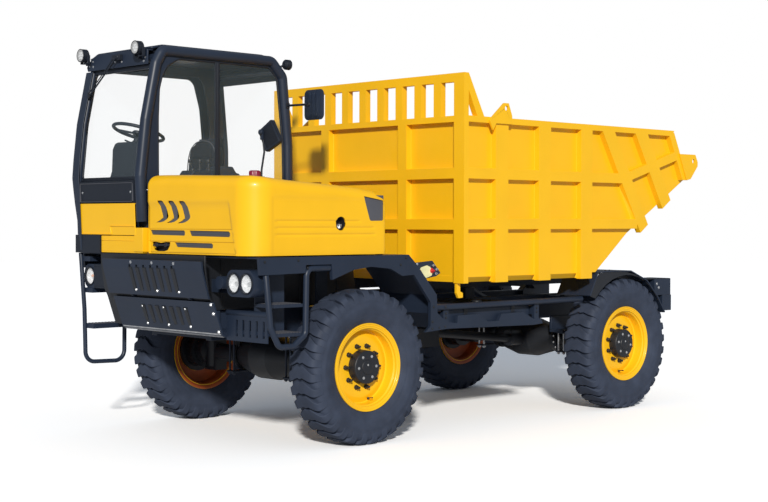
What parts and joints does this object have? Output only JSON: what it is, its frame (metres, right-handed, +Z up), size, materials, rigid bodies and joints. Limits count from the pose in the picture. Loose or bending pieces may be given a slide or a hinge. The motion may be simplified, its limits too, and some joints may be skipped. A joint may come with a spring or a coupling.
{
  "type": "site dumper",
  "caption": "Rear-tipping site dumper with a large yellow skip, a narrow side cab, a yellow bonnet beside it and four lugged wheels.",
  "frame": {"origin": "on the ground under the middle of the vehicle's overall length and width", "axes": "+X forward, +Y to the driver's left, +Z up"},
  "size_m": [5.57, 2.5, 3.18],
  "materials": {
    "machine_yellow": "gloss yellow paint",
    "chassis_dark": "satin blue-black paint",
    "hub_dark": "satin black paint",
    "bright_rod": "hard chromed and polished",
    "tyre_rubber": "matt black rubber",
    "lamp_lens": "clear moulded lens",
    "black_plastic": "fine grained black plastic",
    "clear_glass": "clear flat glass",
    "seat_cover": "black seat cloth"
  },
  "bodies": {
    "chassis": {"frame": "chassis_dark", "front_axle": "hub_dark", "rear_axle": "hub_dark", "driveline": "hub_dark", "engine": "hub_dark", "fender_front_left": "chassis_dark", "fender_front_right": "chassis_dark", "step_guard": "chassis_dark", "ladder": "chassis_dark", "nose": "chassis_dark", "headlamps": "lamp_lens", "side_guards": "chassis_dark", "fenders_rear": "chassis_dark", "cab_frame": "chassis_dark", "cab_body": "chassis_dark", "cab_front": "machine_yellow", "cab_scuttle": "black_plastic", "cab_roof": "chassis_dark", "cab_glass": "clear_glass", "seat": "seat_cover", "steering": "black_plastic", "cab_mirror": "black_plastic", "work_lamps": "black_plastic"},
    "knuckle_left": {"knuckle_left": "hub_dark"},
    "knuckle_right": {"knuckle_right": "hub_dark"},
    "skip": {"skip": "machine_yellow", "skip_subframe": "chassis_dark"},
    "ram_barrel": {"ram_barrel": "chassis_dark"},
    "ram_rod": {"ram_rod": "bright_rod"},
    "bonnet": {"bonnet": "machine_yellow", "bonnet_mirror": "black_plastic"},
    "cab_door": {"cab_door": "chassis_dark", "door_glass": "clear_glass"},
    "wheel_front_left": {"tyre_front_left": "tyre_rubber", "rim_front_left": "machine_yellow", "hub_front_left": "hub_dark"},
    "wheel_front_right": {"tyre_front_right": "tyre_rubber", "rim_front_right": "machine_yellow", "hub_front_right": "hub_dark"},
    "wheel_rear_left": {"tyre_rear_left": "tyre_rubber", "rim_rear_left": "machine_yellow", "hub_rear_left": "hub_dark"},
    "wheel_rear_right": {"tyre_rear_right": "tyre_rubber", "rim_rear_right": "machine_yellow", "hub_rear_right": "hub_dark"}
  },
  "joints": [
    {"name": "steer_left", "type": "hinge", "parent": "chassis", "child": "knuckle_left", "pos_m": [1.542, 0.82, 0.607], "axis": [0, 0, 1], "range_deg": [-30, 30]},
    {"name": "steer_right", "type": "hinge", "parent": "chassis", "child": "knuckle_right", "pos_m": [1.542, -0.82, 0.607], "axis": [0, 0, 1], "range_deg": [-30, 30]},
    {"name": "front_spin_left", "type": "hinge", "parent": "knuckle_left", "child": "wheel_front_left", "pos_m": [1.542, 1.047, 0.607], "axis": [0, 1, 0], "continuous": true},
    {"name": "rear_spin_left", "type": "hinge", "parent": "chassis", "child": "wheel_rear_left", "pos_m": [-1.745, 1.047, 0.607], "axis": [0, 1, 0], "continuous": true},
    {"name": "front_spin_right", "type": "hinge", "parent": "knuckle_right", "child": "wheel_front_right", "pos_m": [1.542, -1.047, 0.607], "axis": [0, 1, 0], "continuous": true},
    {"name": "rear_spin_right", "type": "hinge", "parent": "chassis", "child": "wheel_rear_right", "pos_m": [-1.745, -1.047, 0.607], "axis": [0, 1, 0], "continuous": true},
    {"name": "skip_tip", "type": "hinge", "parent": "chassis", "child": "skip", "pos_m": [-2.175, 0, 1.11], "axis": [0, -1, 0], "range_deg": [0, 55]},
    {"name": "ram_swing", "type": "hinge", "parent": "chassis", "child": "ram_barrel", "pos_m": [-1.445, 0, 0.8], "axis": [0, -1, 0], "range_deg": [0, 61.1]},
    {"name": "ram_extend", "type": "slide", "parent": "ram_barrel", "child": "ram_rod", "axis": [0.9015, 0, 0.4327], "range_m": [0, 0.721]},
    {"name": "bonnet_lift", "type": "hinge", "parent": "chassis", "child": "bonnet", "pos_m": [1.315, 0, 1.512], "axis": [0, -1, 0], "range_deg": [0, 50]},
    {"name": "door_swing", "type": "hinge", "parent": "chassis", "child": "cab_door", "pos_m": [1.24, -1.187, 1.66], "axis": [0, 0, -1], "range_deg": [0, 80]}
  ],
  "couplings": [
    {"joint": "steer_right", "follows": "steer_left", "ratio": 1},
    {"joint": "ram_swing", "follows": "skip_tip", "ratio": 1.1096},
    {"joint": "ram_extend", "follows": "skip_tip", "m_per_rad": 0.75041}
  ]
}
